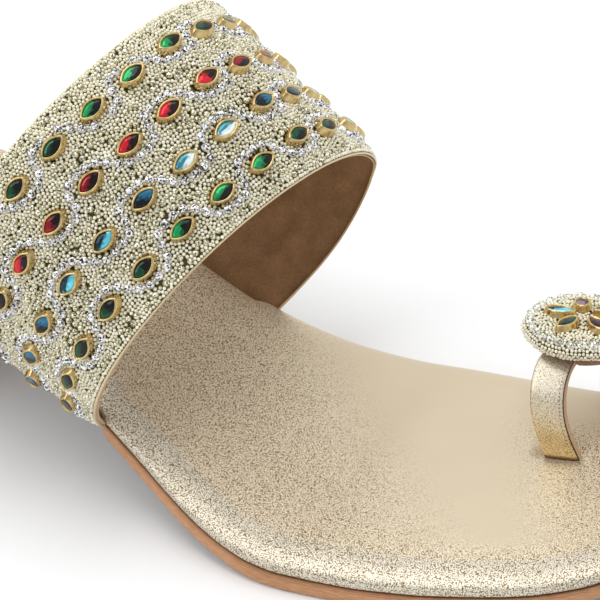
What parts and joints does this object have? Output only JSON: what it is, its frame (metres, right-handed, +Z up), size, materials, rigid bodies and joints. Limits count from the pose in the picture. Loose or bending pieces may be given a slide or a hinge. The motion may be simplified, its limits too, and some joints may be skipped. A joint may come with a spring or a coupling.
{
  "type": "toe ring sandal",
  "caption": "Open toe ring sandal for the right foot with a beaded, jewelled instep band, padded gold leather footbed, round beaded medallion and a low block heel.",
  "frame": {"origin": "middle of the bounding box, on the floor that the heel and the forefoot stand on", "axes": "+X from the heel to the toe, +Y towards the big toe side, +Z up"},
  "size_m": [0.25, 0.0995, 0.1101],
  "materials": {
    "sole_leather": "tan leather with a burnished cut edge",
    "heel_leather": "tan stacked leather block",
    "footbed_leather": "fine-grained champagne gold foil leather over padding",
    "beaded_cloth": "cloth covered with pearl seed beads, clear stones and gold-set gems",
    "ring_leather": "gold foil leather strap with a tan lining",
    "beaded_pad": "padded disc covered with pearl seed beads and a flower of gold-set gems"
  },
  "bodies": {
    "root": {"outsole": "sole_leather", "heel": "heel_leather", "footbed": "footbed_leather", "instep_band": "beaded_cloth", "toe_ring": "ring_leather", "medallion": "beaded_pad"}
  },
  "joints": []
}
